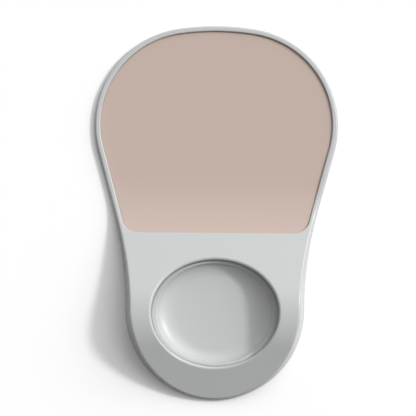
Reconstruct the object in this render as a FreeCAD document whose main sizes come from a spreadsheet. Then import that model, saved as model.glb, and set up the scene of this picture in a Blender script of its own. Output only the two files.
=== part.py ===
import FreeCAD, Part
import math
import os

import Sketcher

os.makedirs("parts", exist_ok=True)
doc = FreeCAD.newDocument("wet_palette")
Vec = FreeCAD.Vector

# Sizes in millimetres and degrees. The origin is under the middle of the tray,
# +Y points to the big end, +Z points up from the table.
SIZES = [
    # Plan of the tray, where the outer wall meets the underside
    ("tray_length", 276.0),
    ("tray_width", 180.0),
    ("crown_radius", 183.5),
    ("shoulder_radius", 72.8),
    ("flank_length", 45.0),
    ("nose_radius", 65.2),
    ("wall_draft", 8.0),
    # Layers at the big end, from the table up
    ("foot_height", 0.6),
    ("floor_thickness", 1.0),
    ("sponge_thickness", 1.0),
    ("paper_thickness", 0.2),
    ("paper_drop", 1.8),
    # Side view of the top face
    ("incline_from_nose", 139.5),
    ("incline_angle", 19.7),
    ("valley_radius", 76.0),
    ("ridge_from_nose", 62.0),
    ("ridge_radius", 54.8),
    ("front_angle", 27.2),
    # Basin for the sponge and the paper
    ("rim_width", 4.4),
    ("basin_edge_from_nose", 120.6),
    ("basin_corner_radius", 12.4),
    ("basin_fillet", 0.9),
    ("sheet_clearance", 0.3),
    ("bend_relief", 20.0),
    # Shell
    ("skin", 2.2),
    ("edge_fillet", 1.6),
    ("cavity_from_nose", 116.0),
    # Well and dish
    ("well_half_width", 45.9),
    ("well_half_length", 38.4),
    ("well_fillet", 1.6),
    ("well_wall", 2.0),
    ("ledge_thickness", 2.0),
    ("flange_height", 14.0),
    ("flange_thickness", 1.6),
    ("flange_side_width", 3.9),
    ("flange_end_width", 2.2),
    ("dish_clearance", 0.3),
    ("bowl_depth", 6.0),
    ("bowl_wall", 1.0),
    ("bowl_side_run", 14.0),
    ("bowl_end_run", 9.5),
    ("lip_fillet", 0.9),
    # Cover under the hump, with its screws
    ("cover_thickness", 1.5),
    ("cover_clearance", 0.2),
    ("boss_diameter", 7.0),
    ("back_boss_inset", 15.2),
    ("back_boss_offset", 32.0),
    ("front_boss_inset", 24.2),
    ("front_boss_offset", 36.0),
    ("screw_diameter", 2.9),
    ("screw_head_diameter", 5.6),
    ("screw_head_height", 1.3),
    ("screw_length", 8.0),
    ("screw_slot_width", 0.8),
    ("screw_slot_length", 3.0),
    ("screw_slot_depth", 0.6),
    ("screw_play", 0.1),
    # Foot pads
    ("foot_diameter", 14.0),
    ("crown_foot_from_crown", 18.0),
    ("shoulder_foot_inset", 22.0),
    ("shoulder_foot_from_crown", 78.0),
    ("hump_foot_inset", 12.2),
    ("nose_foot_from_nose", 13.0),
]

sheet = doc.addObject("Spreadsheet::Sheet", "Sizes")
for row, (name, value) in enumerate(SIZES, start=1):
    sheet.set("A%d" % row, name)
    sheet.set("B%d" % row, str(value))
    sheet.setAlias("B%d" % row, name)
doc.recompute()


def size(name):
    return float(sheet.get(name))


# Levels and places that follow from the sizes, as text for expressions
HALF_LENGTH = "Sizes.tray_length / 2"
COVER_TOP = "(Sizes.foot_height + Sizes.cover_thickness)"
STACK = "(Sizes.sponge_thickness + Sizes.paper_thickness + Sizes.paper_drop)"
RIM_TOP = "(Sizes.foot_height + Sizes.floor_thickness + %s)" % STACK
RIDGE_Y = "(Sizes.ridge_from_nose - %s)" % HALF_LENGTH
LEDGE_TOP = "(Sizes.flange_height - Sizes.flange_thickness)"
LEDGE_BOTTOM = "(%s - Sizes.ledge_thickness)" % LEDGE_TOP
TALL = 60.0
FAR = 400.0


# A gauge that reads what an expression on the sheet comes to
gauge = doc.addObject("App::FeaturePython", "Gauge")
gauge.addProperty("App::PropertyFloat", "Value")


def number(text):
    """The present value of an expression on the sheet."""
    gauge.setExpression("Value", text)
    gauge.recompute()
    return gauge.Value


def new_body(name):
    body = doc.addObject("PartDesign::Body", name)
    body.Label = name
    return body


def new_sketch(body, name, role="XY_Plane", level=None):
    """An empty sketch on one of the body's own planes, raised to a level."""
    plane = [item for item in body.Origin.OriginFeatures if item.Role == role][0]
    sketch = body.newObject("Sketcher::SketchObject", name)
    sketch.AttachmentSupport = [(plane, "")]
    sketch.MapMode = "FlatFace"
    if level:
        sketch.setExpression("AttachmentOffset.Base.z", level)
    return sketch


def hold(sketch, text, *constraint):
    """A dimension of a sketch, bound to an expression."""
    value = number(text)
    if constraint[0] == "Angle":
        value = math.radians(value)
    index = sketch.addConstraint(Sketcher.Constraint(*constraint, value))
    sketch.setExpression("Constraints[%d]" % index, text)


def arc(centre, radius, start, end):
    circle = Part.Circle(Vec(centre[0], centre[1], 0), Vec(0, 0, 1), radius)
    return Part.ArcOfCircle(circle, start, end)


def line(start, end):
    return Part.LineSegment(Vec(start[0], start[1], 0), Vec(end[0], end[1], 0))


def join_smooth(sketch, chain):
    """Tangent joints along a closed chain of (edge, first point, last point)."""
    for here, there in zip(chain, chain[1:] + chain[:1]):
        sketch.addConstraint(Sketcher.Constraint("Tangent", here[0], here[2], there[0], there[1]))


def plan_numbers(inset):
    """Centres, radii and joint angles of the pear-shaped outline."""
    crown = size("crown_radius") - inset
    shoulder = size("shoulder_radius") - inset
    nose = size("nose_radius") - inset
    half_length = size("tray_length") / 2
    crown_y = half_length - size("crown_radius")
    nose_y = size("nose_radius") - half_length
    shoulder_x = size("tray_width") / 2 - size("shoulder_radius")
    shoulder_y = crown_y + math.sqrt((crown - shoulder) ** 2 - shoulder_x ** 2)
    rise = shoulder_y - nose_y
    squares = rise ** 2 + (nose - shoulder_x) ** 2 - shoulder ** 2 - size("flank_length") ** 2
    neck = squares / (2 * (shoulder - nose + shoulder_x))
    neck_x = nose + neck
    # The flank is the inner tangent of the shoulder and the neck
    lean = math.atan2(rise, neck_x - shoulder_x) - math.atan2(size("flank_length"), shoulder + neck)
    crown_turn = math.atan2(shoulder_y - crown_y, shoulder_x)
    return {
        "crown": crown, "shoulder": shoulder, "nose": nose, "neck": neck,
        "crown_y": crown_y, "nose_y": nose_y, "neck_x": neck_x,
        "shoulder_x": shoulder_x, "shoulder_y": shoulder_y,
        "lean": lean, "crown_turn": crown_turn,
    }


def polar(centre, radius, angle):
    return (centre[0] + radius * math.cos(angle), centre[1] + radius * math.sin(angle))


def draw_outline(sketch, inset):
    """The outline of the tray, moved inwards by an inset: a crown, shoulders, flanks, necks and a nose."""
    plan = plan_numbers(number(inset))
    lean = plan["lean"]
    turn = plan["crown_turn"]
    half = math.pi
    shoulder = (plan["shoulder_x"], plan["shoulder_y"])
    neck = (plan["neck_x"], plan["nose_y"])
    left_shoulder = (-shoulder[0], shoulder[1])
    left_neck = (-neck[0], neck[1])
    flank_top = polar(shoulder, plan["shoulder"], -lean)
    flank_foot = polar(neck, plan["neck"], half - lean)
    left_flank_top = (-flank_top[0], flank_top[1])
    left_flank_foot = (-flank_foot[0], flank_foot[1])
    shapes = [
        ("crown", arc((0, plan["crown_y"]), plan["crown"], turn, half - turn)),
        ("left_shoulder", arc(left_shoulder, plan["shoulder"], half - turn, half + lean)),
        ("left_flank", line(left_flank_top, left_flank_foot)),
        ("left_neck", arc(left_neck, plan["neck"], 0, lean)),
        ("nose", arc((0, plan["nose_y"]), plan["nose"], half, 2 * half)),
        ("right_neck", arc(neck, plan["neck"], half - lean, half)),
        ("right_flank", line(flank_foot, flank_top)),
        ("right_shoulder", arc(shoulder, plan["shoulder"], -lean, turn)),
    ]
    edges = {}
    for name, shape in shapes:
        edges[name] = sketch.addGeometry(shape)
    join_smooth(sketch, [
        (edges["crown"], 1, 2), (edges["left_shoulder"], 1, 2), (edges["left_flank"], 1, 2),
        (edges["left_neck"], 2, 1), (edges["nose"], 1, 2), (edges["right_neck"], 2, 1),
        (edges["right_flank"], 1, 2), (edges["right_shoulder"], 1, 2),
    ])
    nose_y = "Sizes.nose_radius - %s" % HALF_LENGTH
    crown_y = "%s - Sizes.crown_radius" % HALF_LENGTH
    shoulder_x = "(Sizes.tray_width / 2 - Sizes.shoulder_radius)"
    for name, middle_y in (("crown", crown_y), ("nose", nose_y)):
        sketch.addConstraint(Sketcher.Constraint("PointOnObject", edges[name], 3, -2))
        hold(sketch, "Sizes.%s_radius - (%s)" % (name, inset), "Radius", edges[name])
        hold(sketch, middle_y, "DistanceY", -1, 1, edges[name], 3)
    for side, sign in (("right", ""), ("left", "-")):
        hold(sketch, "Sizes.shoulder_radius - (%s)" % inset, "Radius", edges[side + "_shoulder"])
        hold(sketch, sign + shoulder_x, "DistanceX", -1, 1, edges[side + "_shoulder"], 3)
        hold(sketch, "Sizes.flank_length", "Distance", edges[side + "_flank"])
        hold(sketch, nose_y, "DistanceY", -1, 1, edges[side + "_neck"], 3)


def valley_text(relief):
    """The place of the valley's centre along the tray."""
    return ("Sizes.incline_from_nose - %s + (Sizes.valley_radius + %s)"
            " * tan(Sizes.incline_angle / 2)" % (HALF_LENGTH, relief))


def top_height(y):
    """The height of the tray's top face over a place in the flat, the valley or the incline."""
    angle = math.radians(size("incline_angle"))
    foot_y = number("Sizes.incline_from_nose - %s" % HALF_LENGTH)
    level = number(RIM_TOP)
    valley_y = number(valley_text("0"))
    radius = size("valley_radius")
    if y > valley_y:
        return level
    if y > valley_y - radius * math.sin(angle):
        return level + radius - math.sqrt(radius ** 2 - (valley_y - y) ** 2)
    return level + (foot_y - y) * math.tan(angle)


def draw_profile(sketch, drop, relief, close_level):
    """The side view of the top face, lowered by a drop and closed above or below."""
    angle = math.radians(size("incline_angle"))
    front = math.radians(size("front_angle"))
    valley_y = number(valley_text(relief))
    ridge_y = number(RIDGE_Y)
    level = number("%s - (%s)" % (RIM_TOP, drop))
    valley = number("Sizes.valley_radius + (%s) + %s" % (drop, relief))
    ridge = number("Sizes.ridge_radius - (%s)" % drop)
    valley_centre = (valley_y, level + valley)
    valley_start = polar(valley_centre, valley, 1.5 * math.pi - angle)
    # The ridge touches the incline with its centre under the middle of the dish
    ridge_start_y = ridge_y + ridge * math.sin(angle)
    ridge_start_z = valley_start[1] + (valley_start[0] - ridge_start_y) * math.tan(angle)
    ridge_centre = (ridge_y, ridge_start_z - ridge * math.cos(angle))
    ridge_end = polar(ridge_centre, ridge, math.pi / 2 + front)
    south = (-FAR, ridge_end[1] - (ridge_end[0] + FAR) * math.tan(front))
    flat = sketch.addGeometry(line((valley_y, level), (FAR, level)))
    valley_arc = sketch.addGeometry(
        arc(valley_centre, valley, 1.5 * math.pi - angle, 1.5 * math.pi))
    incline = sketch.addGeometry(line(valley_start, (ridge_start_y, ridge_start_z)))
    ridge_arc = sketch.addGeometry(
        arc(ridge_centre, ridge, math.pi / 2 - angle, math.pi / 2 + front))
    slope = sketch.addGeometry(line(south, ridge_end))
    south_side = sketch.addGeometry(line((-FAR, close_level), south))
    closing = sketch.addGeometry(line((-FAR, close_level), (FAR, close_level)))
    north_side = sketch.addGeometry(line((FAR, close_level), (FAR, level)))
    smooth = [(flat, 1, valley_arc, 2), (valley_arc, 1, incline, 1),
              (incline, 2, ridge_arc, 1), (ridge_arc, 2, slope, 2)]
    corners = [(slope, 1, south_side, 2), (south_side, 1, closing, 1),
               (closing, 2, north_side, 1), (north_side, 2, flat, 2)]
    for joint in smooth:
        sketch.addConstraint(Sketcher.Constraint("Tangent", *joint))
    for joint in corners:
        sketch.addConstraint(Sketcher.Constraint("Coincident", *joint))
    for edge in (flat, closing):
        sketch.addConstraint(Sketcher.Constraint("Horizontal", edge))
    for edge in (south_side, north_side):
        sketch.addConstraint(Sketcher.Constraint("Vertical", edge))
    sketch.addConstraint(Sketcher.Constraint("DistanceX", -1, 1, north_side, 1, FAR))
    sketch.addConstraint(Sketcher.Constraint("DistanceX", -1, 1, south_side, 1, -FAR))
    sketch.addConstraint(Sketcher.Constraint("DistanceY", -1, 1, closing, 1, close_level))
    hold(sketch, "%s - (%s)" % (RIM_TOP, drop), "DistanceY", -1, 1, flat, 1)
    hold(sketch, "Sizes.valley_radius + (%s) + %s" % (drop, relief), "Radius", valley_arc)
    hold(sketch, valley_text(relief), "DistanceX", -1, 1, valley_arc, 3)
    hold(sketch, "180 - Sizes.incline_angle", "Angle", incline)
    hold(sketch, "Sizes.ridge_radius - (%s)" % drop, "Radius", ridge_arc)
    hold(sketch, RIDGE_Y, "DistanceX", -1, 1, ridge_arc, 3)
    hold(sketch, "Sizes.front_angle", "Angle", slope)


def draw_oval(sketch, half_width, half_length):
    """An oval over the middle of the dish."""
    reach_x = number(half_width)
    reach_y = number(half_length)
    centre_y = number(RIDGE_Y)
    centre = Vec(0, centre_y, 0)
    side = Vec(reach_x, centre_y, 0)
    end = Vec(0, centre_y + reach_y, 0)
    wide = reach_x > reach_y
    ellipse = Part.Ellipse(side, end, centre) if wide else Part.Ellipse(end, side, centre)
    oval = sketch.addGeometry(ellipse)
    across = sketch.addGeometry(line((-reach_x, centre_y), (reach_x, centre_y)), True)
    along = sketch.addGeometry(line((0, centre_y - reach_y), (0, centre_y + reach_y)), True)
    longer, shorter = (across, along) if wide else (along, across)
    sketch.addConstraint(Sketcher.Constraint("InternalAlignment:EllipseMajorDiameter", longer, oval))
    sketch.addConstraint(Sketcher.Constraint("InternalAlignment:EllipseMinorDiameter", shorter, oval))
    sketch.addConstraint(Sketcher.Constraint("Horizontal", across))
    sketch.addConstraint(Sketcher.Constraint("PointOnObject", oval, 3, -2))
    hold(sketch, RIDGE_Y, "DistanceY", -1, 1, oval, 3)
    hold(sketch, "2 * (%s)" % half_width, "Distance", across)
    hold(sketch, "2 * (%s)" % half_length, "Distance", along)


def draw_circle(sketch, x_text, y_text, diameter):
    circle = Part.Circle(Vec(number(x_text), number(y_text), 0), Vec(0, 0, 1), number(diameter) / 2)
    edge = sketch.addGeometry(circle)
    hold(sketch, diameter, "Diameter", edge)
    hold(sketch, x_text, "DistanceX", -1, 1, edge, 3)
    hold(sketch, y_text, "DistanceY", -1, 1, edge, 3)


def draw_half_plane(sketch, y_text, far_y):
    """A rectangle that covers all of the tray on one side of a line across it."""
    near_y = number(y_text)
    points = [(-FAR, near_y), (FAR, near_y), (FAR, far_y), (-FAR, far_y)]
    edges = []
    for start, end in zip(points, points[1:] + points[:1]):
        edges.append(sketch.addGeometry(line(start, end)))
    for here, there in zip(edges, edges[1:] + edges[:1]):
        sketch.addConstraint(Sketcher.Constraint("Coincident", here, 2, there, 1))
    for index, kind in enumerate(("Horizontal", "Vertical", "Horizontal", "Vertical")):
        sketch.addConstraint(Sketcher.Constraint(kind, edges[index]))
    sketch.addConstraint(Sketcher.Constraint("DistanceX", -1, 1, edges[0], 1, -FAR))
    sketch.addConstraint(Sketcher.Constraint("DistanceX", -1, 1, edges[0], 2, FAR))
    sketch.addConstraint(Sketcher.Constraint("DistanceY", -1, 1, edges[2], 1, far_y))
    hold(sketch, y_text, "DistanceY", -1, 1, edges[0], 1)


def pad(body, name, sketch, length, taper=None, down=False):
    feature = body.newObject("PartDesign::Pad", name)
    feature.Profile = sketch
    if isinstance(length, str):
        feature.setExpression("Length", length)
    else:
        feature.Length = length
    if taper:
        feature.setExpression("TaperAngle", "-" + taper)
    feature.Reversed = down
    doc.recompute()
    return feature


def pocket(body, name, sketch, length=None, taper=None, up=False, both_ways=False):
    feature = body.newObject("PartDesign::Pocket", name)
    feature.Profile = sketch
    if length:
        feature.setExpression("Length", length)
    else:
        feature.Type = "ThroughAll"
    if taper:
        feature.setExpression("TaperAngle", "-" + taper)
    if both_ways:
        feature.SideType = "Symmetric"
    feature.Reversed = up
    doc.recompute()
    return feature


def fillet(body, name, base, edges, radius):
    feature = body.newObject("PartDesign::Fillet", name)
    feature.Base = (base, edges)
    feature.setExpression("Radius", radius)
    doc.recompute()
    return feature


def edges_where(feature, test):
    """Names of the edges whose two faces and middle point pass a test."""
    found = []
    shape = feature.Shape
    for index, edge in enumerate(shape.Edges, start=1):
        faces = shape.ancestorsOfType(edge, Part.Face)
        middle = edge.valueAt((edge.FirstParameter + edge.LastParameter) / 2)
        ups = []
        for face in faces:
            u, v = face.Surface.parameter(middle)
            ups.append(face.normalAt(u, v).z)
        if len(ups) == 2 and test(middle, min(ups), max(ups)):
            found.append("Edge%d" % index)
    return found


def cut_above(body, name, drop, relief="0"):
    sketch = new_sketch(body, name + "_side", "YZ_Plane")
    draw_profile(sketch, drop, relief, 3 * TALL)
    return pocket(body, name, sketch, both_ways=True)


def cut_below(body, name, drop, relief="0"):
    sketch = new_sketch(body, name + "_side", "YZ_Plane")
    draw_profile(sketch, drop, relief, -6 * TALL)
    return pocket(body, name, sketch, both_ways=True)


# Screw places, shared by the bosses, the cover and the screws
BACK_Y = "%s + Sizes.back_boss_offset" % RIDGE_Y
FRONT_Y = "%s - Sizes.front_boss_offset" % RIDGE_Y
BACK_X = "(Sizes.nose_radius - Sizes.back_boss_inset)"
FRONT_X = "(Sizes.nose_radius - Sizes.front_boss_inset)"
SCREW_PLACES = [(BACK_X, BACK_Y), ("-" + BACK_X, BACK_Y), (FRONT_X, FRONT_Y), ("-" + FRONT_X, FRONT_Y)]
SCREW_HOLE = "Sizes.screw_diameter + 2 * Sizes.screw_play"
CAVITY_Y = "Sizes.cavity_from_nose - %s" % HALF_LENGTH


def make_basin_block(body, name, clearance):
    """The tray's outline inside the rim, cut straight at its lower edge, with round corners."""
    outline = new_sketch(body, name + "_outline")
    draw_outline(outline, "Sizes.rim_width + " + clearance)
    pad(body, name + "_block", outline, TALL)
    edge_text = "Sizes.basin_edge_from_nose - %s + %s" % (HALF_LENGTH, clearance)
    south = new_sketch(body, name + "_south")
    draw_half_plane(south, edge_text, -FAR)
    straight = pocket(body, name + "_straight", south, up=True)
    edge_y = number(edge_text)

    def corner(point, low, high):
        return abs(point.y - edge_y) < 0.01 and abs(low) < 0.01 and abs(high) < 0.01

    fillet(body, name + "_corners", straight, edges_where(straight, corner),
           "Sizes.basin_corner_radius - " + clearance)


def make_tray_shell():
    # The outer form: drafted wall, bent top, well and rounded edges
    blank = new_body("tray_blank")
    outline = new_sketch(blank, "tray_outline", level="Sizes.foot_height")
    draw_outline(outline, "0")
    pad(blank, "tray_block", outline, TALL, taper="Sizes.wall_draft")
    cut_above(blank, "tray_top", "0")
    well = new_sketch(blank, "well_oval", level=LEDGE_TOP)
    draw_oval(well, "Sizes.well_half_width", "Sizes.well_half_length")
    well_cut = pocket(blank, "well_cut", well, up=True)
    ridge_y = number(RIDGE_Y)
    reach_x = size("well_half_width") + 1
    reach_y = size("well_half_length") + 1
    ledge = number(LEDGE_TOP)
    bottom = size("foot_height")

    def in_well(point):
        return (point.x / reach_x) ** 2 + ((point.y - ridge_y) / reach_y) ** 2 < 1

    def rim_edge(point, low, high):
        return not in_well(point) and point.z > bottom + 0.5 and low < 0.5 < high

    def well_edge(point, low, high):
        return in_well(point) and point.z > ledge + 0.5 and low < 0.5 < high

    rim_round = fillet(blank, "rim_round", well_cut, edges_where(well_cut, rim_edge),
                       "Sizes.edge_fillet")
    fillet(blank, "well_round", rim_round, edges_where(rim_round, well_edge), "Sizes.well_fillet")

    basin = new_body("basin_space")
    make_basin_block(basin, "basin", "0")
    cut_below(basin, "basin_floor", STACK)
    basin_cut = blank.newObject("PartDesign::Boolean", "basin_cut")
    basin_cut.setObjects([basin])
    basin_cut.Type = "Cut"
    doc.recompute()
    inner_edge_y = number("Sizes.basin_edge_from_nose - %s" % HALF_LENGTH)

    def basin_edge(point, low, high):
        inside = abs(low) < 0.01 and high > 0.5 and point.y > inner_edge_y - 0.01
        return inside and point.z > top_height(point.y) - number(STACK) / 2

    fillet(blank, "basin_round", basin_cut, edges_where(basin_cut, basin_edge),
           "Sizes.basin_fillet")

    # The hollow under the hump leaves a skin, the well wall, the ledge and four bosses
    hollow = new_body("hump_hollow")
    inner = new_sketch(hollow, "hollow_outline", level="Sizes.foot_height")
    draw_outline(inner, "Sizes.skin")
    pad(hollow, "hollow_block", inner, TALL, taper="Sizes.wall_draft")
    cut_above(hollow, "hollow_top", "Sizes.skin")
    north = new_sketch(hollow, "hollow_north")
    draw_half_plane(north, CAVITY_Y, FAR)
    pocket(hollow, "hollow_end", north, up=True)
    post = new_sketch(hollow, "well_post", level=LEDGE_BOTTOM)
    draw_oval(post, "Sizes.well_half_width + Sizes.well_wall",
              "Sizes.well_half_length + Sizes.well_wall")
    pocket(hollow, "well_wall_left", post, up=True)
    bosses = new_sketch(hollow, "boss_circles", level=COVER_TOP)
    for x_text, y_text in SCREW_PLACES:
        draw_circle(bosses, x_text, y_text, "Sizes.boss_diameter")
    pocket(hollow, "bosses_left", bosses, up=True)
    hollow.AllowCompound = True
    opening = new_sketch(hollow, "ledge_oval", level="Sizes.foot_height")
    draw_oval(opening, BOWL_SIDE + " + Sizes.dish_clearance", BOWL_END + " + Sizes.dish_clearance")
    pad(hollow, "ledge_opening", opening, LEDGE_TOP)
    holes = new_sketch(hollow, "screw_circles", level="Sizes.foot_height")
    for x_text, y_text in SCREW_PLACES:
        draw_circle(holes, x_text, y_text, SCREW_HOLE)
    pad(hollow, "screw_holes", holes, "Sizes.screw_length + Sizes.skin / 2")

    shell = doc.addObject("Part::Cut", "tray_shell")
    shell.Base = blank
    shell.Tool = hollow
    shell.Label = "tray_shell"
    doc.recompute()
    return shell


# The mouth of the bowl, and its outside where it passes the ledge
BOWL_LIP_SIDE = "(Sizes.well_half_width - Sizes.flange_side_width)"
BOWL_LIP_END = "(Sizes.well_half_length - Sizes.flange_end_width)"
BOWL_SIDE = "%s + Sizes.bowl_wall" % BOWL_LIP_SIDE
BOWL_END = "%s + Sizes.bowl_wall" % BOWL_LIP_END
BOWL_STEPS = [0, 18, 36, 54, 70, 82, 89]


def draw_bowl(body, name, growth):
    """Ovals down the wall of the bowl, which curves from upright at the lip to level at the floor."""
    ovals = []
    for step in BOWL_STEPS:
        level = "Sizes.flange_height - (Sizes.bowl_depth + %s) * sin(%d)" % (growth, step)
        side_run = "%s - Sizes.bowl_side_run * (1 - cos(%d))" % (growth, step)
        end_run = "%s - Sizes.bowl_end_run * (1 - cos(%d))" % (growth, step)
        oval = new_sketch(body, "%s_%d" % (name, step), level=level)
        draw_oval(oval, "%s + %s" % (BOWL_LIP_SIDE, side_run), "%s + %s" % (BOWL_LIP_END, end_run))
        ovals.append(oval)
    return ovals


def loft(body, name, kind, ovals):
    feature = body.newObject("PartDesign::" + kind, name)
    feature.Profile = ovals[0]
    feature.Sections = ovals[1:]
    doc.recompute()
    return feature


def make_water_dish():
    dish = new_body("water_dish")
    loft(dish, "bowl_block", "AdditiveLoft", draw_bowl(dish, "bowl_outside", "Sizes.bowl_wall"))
    ring = new_sketch(dish, "flange_oval", level=LEDGE_TOP)
    draw_oval(ring, "Sizes.well_half_width - Sizes.dish_clearance",
              "Sizes.well_half_length - Sizes.dish_clearance")
    pad(dish, "flange", ring, "Sizes.flange_thickness")
    inside = loft(dish, "bowl_space", "SubtractiveLoft", draw_bowl(dish, "bowl_inside", "0"))
    flange_top = size("flange_height")
    lip_x = number(BOWL_LIP_SIDE) + size("bowl_wall") / 2
    lip_y = number(BOWL_LIP_END) + size("bowl_wall") / 2
    ridge_y = number(RIDGE_Y)

    def lip(point, low, high):
        within = (point.x / lip_x) ** 2 + ((point.y - ridge_y) / lip_y) ** 2 < 1
        return abs(point.z - flange_top) < 0.05 and within

    fillet(dish, "lip_round", inside, edges_where(inside, lip), "Sizes.lip_fillet")
    return dish


def make_layer(name, drop_top, drop_bottom, relief):
    """A sheet that lies in the basin and bends up at its lower edge."""
    layer = new_body(name)
    make_basin_block(layer, name, "Sizes.sheet_clearance")
    cut_above(layer, name + "_top", drop_top, relief)
    cut_below(layer, name + "_bottom", drop_bottom, relief)
    return layer


def make_base_cover():
    cover = new_body("base_cover")
    outline = new_sketch(cover, "cover_outline", level="Sizes.foot_height")
    draw_outline(outline, "Sizes.skin + Sizes.cover_clearance"
                          " + Sizes.cover_thickness * tan(Sizes.wall_draft)")
    pad(cover, "cover_plate", outline, "Sizes.cover_thickness")
    north = new_sketch(cover, "cover_north")
    draw_half_plane(north, CAVITY_Y + " - Sizes.cover_clearance", FAR)
    pocket(cover, "cover_end", north, up=True)
    holes = new_sketch(cover, "cover_holes")
    for x_text, y_text in SCREW_PLACES:
        draw_circle(holes, x_text, y_text, SCREW_HOLE)
    drilled = pocket(cover, "cover_drilled", holes, up=True)
    foot = size("foot_height")
    hole_reach = number(SCREW_HOLE) / 2 + 0.1
    places = [(number(x_text), number(y_text)) for x_text, y_text in SCREW_PLACES]

    def hole_rim(point, low, high):
        near = [place for place in places
                if math.hypot(point.x - place[0], point.y - place[1]) < hole_reach]
        return bool(near) and abs(point.z - foot) < 0.01

    sink = cover.newObject("PartDesign::Chamfer", "cover_countersinks")
    sink.Base = (drilled, edges_where(drilled, hole_rim))
    sink.ChamferType = "Two distances"
    sink.setExpression("Size", "Sizes.screw_head_height")
    sink.setExpression("Size2", "(Sizes.screw_head_diameter - Sizes.screw_diameter) / 2")
    doc.recompute()
    return cover


def make_screw(name, x_text, y_text):
    screw = new_body(name)
    side = new_sketch(screw, name + "_side", "XZ_Plane")
    shank = size("screw_diameter") / 2
    head = size("screw_head_diameter") / 2
    height = size("screw_head_height")
    tip = size("screw_length")
    point = shank / 2
    points = [(0, 0), (head, 0), (shank, height), (shank, tip - shank), (point, tip), (0, tip)]
    edges = []
    for start, end in zip(points, points[1:] + points[:1]):
        edges.append(side.addGeometry(line(start, end)))
    for here, there in zip(edges, edges[1:] + edges[:1]):
        side.addConstraint(Sketcher.Constraint("Coincident", here, 2, there, 1))
    for index, kind in ((0, "Horizontal"), (2, "Vertical"), (4, "Horizontal"), (5, "Vertical")):
        side.addConstraint(Sketcher.Constraint(kind, edges[index]))
    side.addConstraint(Sketcher.Constraint("Coincident", edges[0], 1, -1, 1))
    hold(side, "Sizes.screw_head_diameter / 2", "DistanceX", -1, 1, edges[0], 2)
    hold(side, "Sizes.screw_diameter / 2", "DistanceX", -1, 1, edges[2], 1)
    hold(side, "Sizes.screw_head_height", "DistanceY", -1, 1, edges[2], 1)
    hold(side, "Sizes.screw_length - Sizes.screw_diameter / 2", "DistanceY", -1, 1, edges[2], 2)
    hold(side, "Sizes.screw_diameter / 4", "DistanceX", -1, 1, edges[3], 2)
    hold(side, "Sizes.screw_length", "DistanceY", -1, 1, edges[3], 2)
    turned = screw.newObject("PartDesign::Revolution", name + "_turned")
    turned.Profile = side
    turned.ReferenceAxis = (side, ["V_Axis"])
    turned.Angle = 360
    doc.recompute()
    slot_long = size("screw_slot_length") / 2
    slot_wide = size("screw_slot_width") / 2
    for way, (reach_x, reach_y) in (("across", (slot_long, slot_wide)), ("along", (slot_wide, slot_long))):
        slot = new_sketch(screw, "%s_slot_%s" % (name, way))
        corners = [(-reach_x, -reach_y), (reach_x, -reach_y), (reach_x, reach_y), (-reach_x, reach_y)]
        sides = []
        for start, end in zip(corners, corners[1:] + corners[:1]):
            sides.append(slot.addGeometry(line(start, end)))
        for here, there in zip(sides, sides[1:] + sides[:1]):
            slot.addConstraint(Sketcher.Constraint("Coincident", here, 2, there, 1))
        for index, kind in enumerate(("Horizontal", "Vertical", "Horizontal", "Vertical")):
            slot.addConstraint(Sketcher.Constraint(kind, sides[index]))
        slot.addConstraint(Sketcher.Constraint("Symmetric", sides[0], 1, sides[1], 2, -1, 1))
        width, length = "Sizes.screw_slot_length", "Sizes.screw_slot_width"
        if way == "along":
            width, length = length, width
        hold(slot, width, "Distance", sides[0])
        hold(slot, length, "Distance", sides[1])
        pocket(screw, "%s_cut_%s" % (name, way), slot, "Sizes.screw_slot_depth", up=True)
    screw.setExpression("Placement.Base.x", x_text)
    screw.setExpression("Placement.Base.y", y_text)
    screw.setExpression("Placement.Base.z", "Sizes.foot_height")
    doc.recompute()
    return screw


def make_cover_screws():
    screws = []
    for index, (x_text, y_text) in enumerate(SCREW_PLACES, start=1):
        screws.append(make_screw("screw_%d" % index, x_text, y_text))
    group = doc.addObject("Part::Compound", "cover_screws")
    group.Links = screws
    group.Label = "cover_screws"
    doc.recompute()
    return group


def make_foot(name, x_text, y_text):
    foot = doc.addObject("Part::Cylinder", name)
    foot.Label = name
    foot.setExpression("Radius", "Sizes.foot_diameter / 2")
    foot.setExpression("Height", "Sizes.foot_height")
    foot.setExpression("Placement.Base.x", x_text)
    foot.setExpression("Placement.Base.y", y_text)
    doc.recompute()
    return foot


SHOULDER_FOOT_X = "(Sizes.tray_width / 2 - Sizes.shoulder_foot_inset)"
SHOULDER_FOOT_Y = "%s - Sizes.shoulder_foot_from_crown" % HALF_LENGTH
HUMP_FOOT_X = "(Sizes.nose_radius - Sizes.hump_foot_inset)"
FEET = [
    ("foot_crown", "0", "%s - Sizes.crown_foot_from_crown" % HALF_LENGTH),
    ("foot_shoulder_right", SHOULDER_FOOT_X, SHOULDER_FOOT_Y),
    ("foot_shoulder_left", "-" + SHOULDER_FOOT_X, SHOULDER_FOOT_Y),
    ("foot_hump_right", HUMP_FOOT_X, RIDGE_Y),
    ("foot_hump_left", "-" + HUMP_FOOT_X, RIDGE_Y),
    ("foot_nose", "0", "Sizes.nose_foot_from_nose - %s" % HALF_LENGTH),
]

pieces = [make_tray_shell(), make_water_dish()]
pieces.append(make_layer("hydration_sponge", "Sizes.paper_drop + Sizes.paper_thickness",
                         STACK, "Sizes.bend_relief"))
pieces.append(make_layer("palette_paper", "Sizes.paper_drop",
                         "Sizes.paper_drop + Sizes.paper_thickness", "2 * Sizes.bend_relief"))
pieces.append(make_base_cover())
pieces.append(make_cover_screws())
for foot_name, foot_x, foot_y in FEET:
    pieces.append(make_foot(foot_name, foot_x, foot_y))

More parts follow.
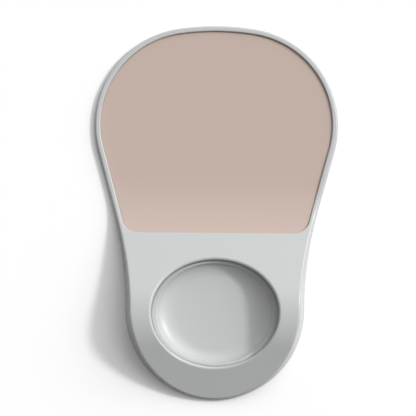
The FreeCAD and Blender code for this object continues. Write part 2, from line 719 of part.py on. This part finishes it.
doc.recompute()
for item in doc.Objects:
    if "Invalid" in item.State or "Error" in item.State:
        raise RuntimeError("%s did not compute: %s" % (item.Name, item.State))
for piece in pieces:
    if piece.Shape.isNull() or not piece.Shape.isValid():
        raise RuntimeError("%s has no valid shape" % piece.Label)
    piece.Shape.exportStep("parts/%s.step" % piece.Label)
    box = piece.Shape.BoundBox
    print("%-22s volume %10.2f  x %8.2f %8.2f  y %8.2f %8.2f  z %7.2f %7.2f  solids %d" % (
        piece.Label, piece.Shape.Volume, box.XMin, box.XMax, box.YMin, box.YMax,
        box.ZMin, box.ZMax, len(piece.Shape.Solids)))
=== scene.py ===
import math

import bmesh
import bpy
from mathutils import Matrix, Vector, noise


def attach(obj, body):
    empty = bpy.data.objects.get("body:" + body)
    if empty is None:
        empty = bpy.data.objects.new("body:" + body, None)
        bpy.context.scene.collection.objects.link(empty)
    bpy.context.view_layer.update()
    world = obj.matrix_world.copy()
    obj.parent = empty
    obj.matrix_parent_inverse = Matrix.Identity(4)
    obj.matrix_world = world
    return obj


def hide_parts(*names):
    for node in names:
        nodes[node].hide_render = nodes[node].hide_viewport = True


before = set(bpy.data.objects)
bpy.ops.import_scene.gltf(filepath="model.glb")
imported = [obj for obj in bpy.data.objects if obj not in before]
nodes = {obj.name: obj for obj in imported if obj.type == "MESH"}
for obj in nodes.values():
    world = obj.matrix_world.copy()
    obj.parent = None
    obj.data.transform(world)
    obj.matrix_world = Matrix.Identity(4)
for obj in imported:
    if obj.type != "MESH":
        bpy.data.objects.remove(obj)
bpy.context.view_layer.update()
MM = 0.001

# Plan and side view of the tray, in millimetres, as the solids have them
TRAY_LENGTH = 276.0
TRAY_WIDTH = 180.0
CROWN_RADIUS = 183.5
SHOULDER_RADIUS = 72.8
FLANK_LENGTH = 45.0
NOSE_RADIUS = 65.2
RIM_WIDTH = 4.4
BASIN_EDGE_FROM_NOSE = 120.6
BASIN_CORNER = 12.4
SHEET_CLEARANCE = 0.3
RIM_TOP = 4.6
INCLINE_FROM_NOSE = 139.5
INCLINE_ANGLE = math.radians(19.7)
VALLEY_RADIUS = 76.0
BEND_RELIEF = 20.0
PAPER_DROP = 1.8
PAPER_THICKNESS = 0.2
SPONGE_THICKNESS = 1.0

# The sheets in the basin: their outline, and how finely it is divided
SHEET_INSET = RIM_WIDTH + SHEET_CLEARANCE
SHEET_CORNER = BASIN_CORNER - SHEET_CLEARANCE
SHEET_EDGE_Y = BASIN_EDGE_FROM_NOSE - TRAY_LENGTH / 2 + SHEET_CLEARANCE
INCLINE_FOOT_Y = INCLINE_FROM_NOSE - TRAY_LENGTH / 2
SHEET_MIDDLE = (0.0, 58.0)
CROWN_STEPS = 12
SHOULDER_STEPS = 44
FLANK_STEPS = 12
NECK_STEPS = 8
CORNER_STEPS = 10
EDGE_STEPS = 28
RINGS = 46
EDGE_TURNS = (30, 60, 90)

# The faint waves of the damp paper, and how fast they fade towards its edge
WAVE_SCALE = (0.021, 0.017)
WAVE_SLICE = 3.7
WAVE_FADE = 8


def arc_points(centre, radius, start, end, count):
    """Points on an arc, without its last one."""
    points = []
    for step in range(count):
        angle = start + (end - start) * step / count
        points.append((centre[0] + radius * math.cos(angle), centre[1] + radius * math.sin(angle)))
    return points


def sheet_outline(inset):
    """The outline of a sheet in the basin, moved inwards by an inset, from the crown clockwise."""
    crown = CROWN_RADIUS - SHEET_INSET - inset
    shoulder = SHOULDER_RADIUS - SHEET_INSET - inset
    nose = NOSE_RADIUS - SHEET_INSET - inset
    corner = SHEET_CORNER - inset
    edge_y = SHEET_EDGE_Y + inset
    crown_y = TRAY_LENGTH / 2 - CROWN_RADIUS
    nose_y = NOSE_RADIUS - TRAY_LENGTH / 2
    shoulder_x = TRAY_WIDTH / 2 - SHOULDER_RADIUS
    shoulder_y = crown_y + math.sqrt((crown - shoulder) ** 2 - shoulder_x ** 2)
    rise = shoulder_y - nose_y
    squares = rise ** 2 + (nose - shoulder_x) ** 2 - shoulder ** 2 - FLANK_LENGTH ** 2
    neck = squares / (2 * (shoulder - nose + shoulder_x))
    neck_x = nose + neck
    lean = math.atan2(rise, neck_x - shoulder_x) - math.atan2(FLANK_LENGTH, shoulder + neck)
    turn = math.atan2(shoulder_y - crown_y, shoulder_x)
    corner_y = edge_y + corner
    drop = corner_y - nose_y
    corner_x = neck_x - math.sqrt((neck + corner) ** 2 - drop ** 2)
    neck_end = math.pi - math.atan2(drop, neck_x - corner_x)
    right = arc_points((0, crown_y), crown, math.pi / 2, turn, CROWN_STEPS)
    right += arc_points((shoulder_x, shoulder_y), shoulder, turn, -lean, SHOULDER_STEPS)
    flank_top = (shoulder_x + shoulder * math.cos(lean), shoulder_y - shoulder * math.sin(lean))
    flank_foot = (neck_x - neck * math.cos(lean), nose_y + neck * math.sin(lean))
    for step in range(FLANK_STEPS):
        share = step / FLANK_STEPS
        right.append(tuple(a + (b - a) * share for a, b in zip(flank_top, flank_foot)))
    right += arc_points((neck_x, nose_y), neck, math.pi - lean, neck_end, NECK_STEPS)
    corner_start = neck_end - math.pi
    right += arc_points((corner_x, corner_y), corner, corner_start, -math.pi / 2, CORNER_STEPS)
    for step in range(EDGE_STEPS):
        right.append((corner_x * (1 - step / EDGE_STEPS), edge_y))
    left = [(-x, y) for x, y in reversed(right[1:])]
    return right + [(0, edge_y)] + left


def sheet_height(y, drop, relief):
    """Height of a layer in the basin: level, then a bend, then the incline."""
    level = RIM_TOP - drop
    radius = VALLEY_RADIUS + drop + relief
    bend_y = INCLINE_FOOT_Y + (VALLEY_RADIUS + relief) * math.tan(INCLINE_ANGLE / 2)
    if y > bend_y:
        return level
    if y > bend_y - radius * math.sin(INCLINE_ANGLE):
        return level + radius - math.sqrt(radius ** 2 - (bend_y - y) ** 2)
    foot_y = INCLINE_FOOT_Y - drop * math.tan(INCLINE_ANGLE / 2)
    return level + (foot_y - y) * math.tan(INCLINE_ANGLE)


def layer_mesh(name, drop_top, drop_bottom, relief, rounding, cockle, reach):
    """A sheet in the basin: rings of points on top, a rounded edge, and rings below.

    The rounding is the radius of its edges, the cockle the height of its waves,
    and the reach how far it goes into the clearance. All are in millimetres.
    """
    middle_x, middle_y = SHEET_MIDDLE
    loops = []

    def ring(outline, share, drop, lift):
        loop = []
        for x, y in outline:
            px = middle_x + (x - middle_x) * share
            py = middle_y + (y - middle_y) * share
            pz = sheet_height(py, drop, relief) + lift(px, py, share)
            loop.append((px * MM, py * MM, pz * MM))
        return loop

    def wave(x, y, share):
        fade = min(1.0, (1 - share) * WAVE_FADE)
        swell = noise.noise(Vector((x * WAVE_SCALE[0], y * WAVE_SCALE[1], WAVE_SLICE)))
        return cockle * fade * (0.5 + 0.5 * swell)

    def still(x, y, share):
        return 0.0

    inner = sheet_outline(rounding - reach)
    for index in range(1, RINGS + 1):
        loops.append(ring(inner, index / RINGS, drop_top, wave))
    for turn in EDGE_TURNS:
        angle = math.radians(turn)
        out = rounding * (1 - math.sin(angle)) - reach
        down = drop_top + rounding * (1 - math.cos(angle))
        loops.append(ring(sheet_outline(out), 1.0, down, still))
    for turn in (*reversed(EDGE_TURNS), 0):
        angle = math.radians(turn)
        out = rounding * (1 - math.sin(angle)) - reach
        down = drop_bottom - rounding * (1 - math.cos(angle))
        loops.append(ring(sheet_outline(out), 1.0, down, still))
    for index in range(RINGS - 1, 0, -1):
        loops.append(ring(inner, index / RINGS, drop_bottom, still))

    mesh = bpy.data.meshes.new(name)
    build = bmesh.new()
    rows = [[build.verts.new(point) for point in loop] for loop in loops]
    top_z = sheet_height(middle_y, drop_top, relief) + wave(middle_x, middle_y, 0.0)
    bottom_z = sheet_height(middle_y, drop_bottom, relief)
    top = build.verts.new((middle_x * MM, middle_y * MM, top_z * MM))
    bottom = build.verts.new((middle_x * MM, middle_y * MM, bottom_z * MM))
    count = len(rows[0])
    for index in range(count):
        after = (index + 1) % count
        build.faces.new((top, rows[0][after], rows[0][index]))
        build.faces.new((bottom, rows[-1][index], rows[-1][after]))
        for upper, lower in zip(rows, rows[1:]):
            build.faces.new((upper[index], upper[after], lower[after], lower[index]))
    bmesh.ops.recalc_face_normals(build, faces=build.faces)
    for face in build.faces:
        face.smooth = True
    build.to_mesh(mesh)
    build.free()
    piece = bpy.data.objects.new(name, mesh)
    bpy.context.scene.collection.objects.link(piece)
    return piece


class Material:
    """A node material with a Principled shader and a few short ways to add detail."""

    def __init__(self, name):
        self.data = bpy.data.materials.new(name)
        self.data.use_nodes = True
        self.tree = self.data.node_tree
        self.shader = self.tree.nodes["Principled BSDF"]
        self.where = self.tree.nodes.new("ShaderNodeTexCoord")

    def set(self, **values):
        for key, value in values.items():
            self.shader.inputs[key.replace("_", " ")].default_value = value

    def place(self, scale):
        """Object coordinates, stretched by a scale for each axis."""
        mapping = self.tree.nodes.new("ShaderNodeMapping")
        mapping.inputs["Scale"].default_value = scale
        self.tree.links.new(self.where.outputs["Object"], mapping.inputs["Vector"])
        return mapping.outputs["Vector"]

    def noise(self, scale, detail=3.0, roughness=0.5, stretch=(1, 1, 1)):
        node = self.tree.nodes.new("ShaderNodeTexNoise")
        node.inputs["Scale"].default_value = scale
        node.inputs["Detail"].default_value = detail
        node.inputs["Roughness"].default_value = roughness
        self.tree.links.new(self.place(stretch), node.inputs["Vector"])
        return node.outputs["Fac"]

    def cells(self, scale):
        node = self.tree.nodes.new("ShaderNodeTexVoronoi")
        node.inputs["Scale"].default_value = scale
        self.tree.links.new(self.place((1, 1, 1)), node.inputs["Vector"])
        return node.outputs["Distance"]

    def ramp(self, source, stops):
        node = self.tree.nodes.new("ShaderNodeValToRGB")
        elements = node.color_ramp.elements
        while len(elements) < len(stops):
            elements.new(0.5)
        for element, (position, colour) in zip(elements, stops):
            element.position = position
            element.color = (*colour, 1.0)
        self.tree.links.new(source, node.inputs["Fac"])
        return node.outputs["Color"]

    def span(self, source, low, high, out_low, out_high):
        node = self.tree.nodes.new("ShaderNodeMapRange")
        node.inputs["From Min"].default_value = low
        node.inputs["From Max"].default_value = high
        node.inputs["To Min"].default_value = out_low
        node.inputs["To Max"].default_value = out_high
        self.tree.links.new(source, node.inputs["Value"])
        return node.outputs["Result"]

    def mix(self, share, first, second):
        node = self.tree.nodes.new("ShaderNodeMix")
        node.data_type = "RGBA"
        self.tree.links.new(share, node.inputs["Factor"])
        for source, side in ((first, "A"), (second, "B")):
            socket = [s for s in node.inputs if s.name == side and s.type == "RGBA"][0]
            self.tree.links.new(source, socket)
        return [s for s in node.outputs if s.type == "RGBA"][0]

    def add(self, first, second):
        node = self.tree.nodes.new("ShaderNodeMath")
        node.operation = "ADD"
        self.tree.links.new(first, node.inputs[0])
        self.tree.links.new(second, node.inputs[1])
        return node.outputs["Value"]

    def bump(self, height, strength, distance):
        node = self.tree.nodes.new("ShaderNodeBump")
        node.inputs["Strength"].default_value = strength
        node.inputs["Distance"].default_value = distance
        self.tree.links.new(height, node.inputs["Height"])
        self.tree.links.new(node.outputs["Normal"], self.shader.inputs["Normal"])

    def colour(self, source):
        self.tree.links.new(source, self.shader.inputs["Base Color"])

    def rough(self, source):
        self.tree.links.new(source, self.shader.inputs["Roughness"])


def shade(colour, factor):
    return tuple(channel * factor for channel in colour)


def moulded_plastic(name, colour, rough_low, rough_high, grain_scale, grain):
    """Moulded plastic: a fine spark-eroded grain, faint flow marks and uneven gloss."""
    material = Material(name)
    flow = material.noise(14.0, detail=2.0, stretch=(1.0, 0.35, 1.0))
    tone = material.ramp(flow, [(0.3, shade(colour, 0.985)), (0.7, shade(colour, 1.012))])
    material.colour(tone)
    gloss = material.noise(420.0, detail=4.0)
    material.rough(material.span(gloss, 0.3, 0.7, rough_low, rough_high))
    fine = material.noise(grain_scale, detail=2.0, roughness=0.6)
    material.bump(fine, grain, 0.00004)
    material.set(IOR=1.46)
    return material.data


def palette_paper(name, colour):
    """Matte palette paper: short pressed fibres, faint mottling where it is damp."""
    material = Material(name)
    damp = material.noise(26.0, detail=3.0)
    fibre = material.noise(900.0, detail=5.0, roughness=0.65, stretch=(1.0, 0.25, 1.0))
    cross = material.noise(1100.0, detail=4.0, roughness=0.6, stretch=(0.3, 1.0, 1.0))
    threads = material.add(fibre, cross)
    mottled = material.ramp(damp, [(0.3, shade(colour, 0.985)), (0.7, shade(colour, 1.01))])
    flecked = material.ramp(threads, [(0.0, shade(colour, 0.97)), (1.0, shade(colour, 1.02))])
    share = material.span(threads, 0.7, 1.3, 0.35, 0.6)
    material.colour(material.mix(share, mottled, flecked))
    material.rough(material.span(damp, 0.3, 0.7, 0.74, 0.86))
    material.bump(threads, 0.10, 0.00006)
    material.set(IOR=1.4)
    return material.data


def open_sponge(name, colour):
    """Cellulose sponge: open round pores of mixed sizes, their hollows coloured darker as painted
    shade.
    """
    material = Material(name)
    large = material.cells(620.0)
    small = material.cells(1700.0)
    pores = material.add(large, small)
    # Painted shade: the colour darkens towards each pore's middle, where the hollows would be in
    # shade.
    stops = [(0.15, shade(colour, 0.42)), (0.55, shade(colour, 0.9)), (1.0, colour)]
    material.colour(material.ramp(pores, stops))
    material.rough(material.span(large, 0.0, 0.8, 0.95, 0.7))
    material.bump(pores, 0.9, 0.0004)
    return material.data


def foot_rubber(name, colour):
    """Die-cut rubber pad: dull, with a dusty bloom and fine pits."""
    material = Material(name)
    dust = material.noise(160.0, detail=5.0, roughness=0.7)
    material.colour(material.ramp(dust, [(0.35, colour), (0.75, shade(colour, 1.7))]))
    material.rough(material.span(dust, 0.3, 0.7, 0.72, 0.92))
    pits = material.cells(2600.0)
    material.bump(pits, 0.35, 0.00008)
    return material.data


def turned_steel(name, colour):
    """Zinc-plated screw steel, with drawn lines and a few dull spots."""
    material = Material(name)
    lines = material.noise(2600.0, detail=3.0, stretch=(1.0, 1.0, 0.08))
    spots = material.noise(500.0, detail=4.0)
    material.colour(material.ramp(spots, [(0.35, shade(colour, 0.82)), (0.65, colour)]))
    material.rough(material.span(spots, 0.3, 0.7, 0.42, 0.26))
    material.bump(lines, 0.15, 0.00003)
    material.set(Metallic=1.0)
    return material.data


def dress(node, material):
    piece = nodes[node]
    piece.data.materials.clear()
    piece.data.materials.append(material)


SHELL_GREY = (0.514, 0.525, 0.524)
DISH_GREY = (0.508, 0.520, 0.514)
PAPER_BEIGE = (0.521, 0.415, 0.366)
SPONGE_CREAM = (0.72, 0.64, 0.49)
COVER_GREY = (0.44, 0.45, 0.45)
RUBBER_GREY = (0.035, 0.035, 0.036)
STEEL_GREY = (0.62, 0.62, 0.61)

shell_plastic = moulded_plastic("shell_plastic", SHELL_GREY, rough_low=0.27, rough_high=0.34,
                                grain_scale=2600.0, grain=0.05)
dish_plastic = moulded_plastic("dish_plastic", DISH_GREY, rough_low=0.34, rough_high=0.40,
                               grain_scale=3200.0, grain=0.012)
cover_plastic = moulded_plastic("cover_plastic", COVER_GREY, rough_low=0.5, rough_high=0.62,
                                grain_scale=1500.0, grain=0.22)
rubber = foot_rubber("foot_rubber", RUBBER_GREY)
steel = turned_steel("screw_steel", STEEL_GREY)

dress("tray_shell", shell_plastic)
dress("water_dish", dish_plastic)
dress("base_cover", cover_plastic)
dress("cover_screws", steel)
for node in nodes:
    if node.startswith("foot_"):
        dress(node, rubber)

# The paper and the sponge lie in the basin and bend up at its lower edge
sponge_drop = PAPER_DROP + PAPER_THICKNESS
sponge = layer_mesh("sponge_pad", sponge_drop, sponge_drop + SPONGE_THICKNESS, BEND_RELIEF,
                    rounding=0.35, cockle=0.0, reach=0.0)
sponge.data.materials.append(open_sponge("sponge", SPONGE_CREAM))
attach(sponge, "sponge")
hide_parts("hydration_sponge")

paper = layer_mesh("palette_sheet", PAPER_DROP, sponge_drop, 2 * BEND_RELIEF,
                   rounding=0.08, cockle=0.06, reach=0.2)
paper.data.materials.append(palette_paper("palette_paper", PAPER_BEIGE))
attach(paper, "paper")
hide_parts("palette_paper")


def seen_directly(tree):
    """1 for what the camera sees, also in a reflection or through a clear piece, else 0."""
    path = tree.nodes.new("ShaderNodeLightPath")
    share = path.outputs["Is Camera Ray"]
    for name in ("Is Glossy Ray", "Is Transmission Ray"):
        either = tree.nodes.new("ShaderNodeMath")
        either.operation = "MAXIMUM"
        tree.links.new(share, either.inputs[0])
        tree.links.new(path.outputs[name], either.inputs[1])
        share = either.outputs["Value"]
    return share


# How much light the table top gives back, half its side in metres, and the world's least light
FLOOR_BOUNCE = 0.48
FLOOR_HALF = 4.0
WORLD_LEAST = 0.02


def make_floor():
    """A pale table top that looks white to the camera and keeps the shadow."""
    mesh = bpy.data.meshes.new("floor")
    half = FLOOR_HALF
    corners = [(-half, -half, 0), (half, -half, 0), (half, half, 0), (-half, half, 0)]
    mesh.from_pydata(corners, [], [(0, 1, 2, 3)])
    floor = bpy.data.objects.new("floor", mesh)
    bpy.context.scene.collection.objects.link(floor)
    material = bpy.data.materials.new("floor_white")
    material.use_nodes = True
    tree = material.node_tree
    tree.nodes.clear()
    output = tree.nodes.new("ShaderNodeOutputMaterial")
    bounce = tree.nodes.new("ShaderNodeBsdfDiffuse")
    bounce.inputs["Color"].default_value = (FLOOR_BOUNCE, FLOOR_BOUNCE, FLOOR_BOUNCE, 1)
    seen = tree.nodes.new("ShaderNodeBsdfDiffuse")
    seen.inputs["Color"].default_value = (1.0, 1.0, 1.0, 1)
    choose = tree.nodes.new("ShaderNodeMixShader")
    tree.links.new(seen_directly(tree), choose.inputs["Fac"])
    tree.links.new(bounce.outputs["BSDF"], choose.inputs[1])
    tree.links.new(seen.outputs["BSDF"], choose.inputs[2])
    tree.links.new(choose.outputs["Shader"], output.inputs["Surface"])
    mesh.materials.append(material)


def make_world(level, lean):
    """Soft studio light, stronger from the big end. The camera and reflections see white."""
    world = bpy.data.worlds.new("studio")
    world.use_nodes = True
    tree = world.node_tree
    tree.nodes.clear()
    output = tree.nodes.new("ShaderNodeOutputWorld")
    where = tree.nodes.new("ShaderNodeTexCoord")
    along = tree.nodes.new("ShaderNodeVectorMath")
    along.operation = "DOT_PRODUCT"
    along.inputs[1].default_value = lean
    tree.links.new(where.outputs["Generated"], along.inputs[0])
    lift = tree.nodes.new("ShaderNodeMath")
    lift.operation = "MULTIPLY_ADD"
    lift.inputs[1].default_value = level
    lift.inputs[2].default_value = level
    tree.links.new(along.outputs["Value"], lift.inputs[0])
    above = tree.nodes.new("ShaderNodeMath")
    above.operation = "MAXIMUM"
    above.inputs[1].default_value = WORLD_LEAST
    tree.links.new(lift.outputs["Value"], above.inputs[0])
    light = tree.nodes.new("ShaderNodeBackground")
    tree.links.new(above.outputs["Value"], light.inputs["Strength"])
    white = tree.nodes.new("ShaderNodeBackground")
    white.inputs["Color"].default_value = (1, 1, 1, 1)
    white.inputs["Strength"].default_value = 1.0
    choose = tree.nodes.new("ShaderNodeMixShader")
    tree.links.new(seen_directly(tree), choose.inputs["Fac"])
    tree.links.new(light.outputs["Background"], choose.inputs[1])
    tree.links.new(white.outputs["Background"], choose.inputs[2])
    tree.links.new(choose.outputs["Shader"], output.inputs["Surface"])
    bpy.context.scene.world = world


def make_key(name, direction, strength, spread):
    """A key light from the right and a little from the big end, small or broad."""
    lamp = bpy.data.lights.new(name, "SUN")
    lamp.energy = strength
    lamp.angle = math.radians(spread)
    key = bpy.data.objects.new(name, lamp)
    towards = -Vector(direction)
    key.rotation_euler = towards.to_track_quat("-Z", "Y").to_euler()
    bpy.context.scene.collection.objects.link(key)


def make_camera():
    """Almost straight down with a long lens, as the photo was taken."""
    target = Vector((-0.0057, 0.0020, 0.0))
    distance = 1.311
    elevation = math.radians(83.51)
    turn = math.radians(0.51)
    back = Vector((math.sin(turn) * math.cos(elevation), -math.cos(turn) * math.cos(elevation),
                   math.sin(elevation)))
    right = Vector((math.cos(turn), math.sin(turn), 0.0))
    up = back.cross(right)
    lens = bpy.data.cameras.new("camera")
    lens.lens = 154.2
    lens.sensor_width = 36.0
    lens.sensor_fit = "HORIZONTAL"
    lens.clip_start = 0.05
    lens.clip_end = 50.0
    camera = bpy.data.objects.new("camera", lens)
    rotation = Matrix((right, up, back)).transposed().to_4x4()
    camera.matrix_world = Matrix.Translation(target + back * distance) @ rotation
    bpy.context.scene.collection.objects.link(camera)
    bpy.context.scene.camera = camera


make_floor()
make_world(level=0.316, lean=(1.0, 1.75, 1.0))
make_key("key", direction=(1.1, 0.55, 1.0), strength=1.45, spread=9.0)
make_key("softbox", direction=(0.9, 0.85, 1.05), strength=1.36, spread=62.0)
make_camera()
bpy.context.scene.view_settings.view_transform = "Standard"
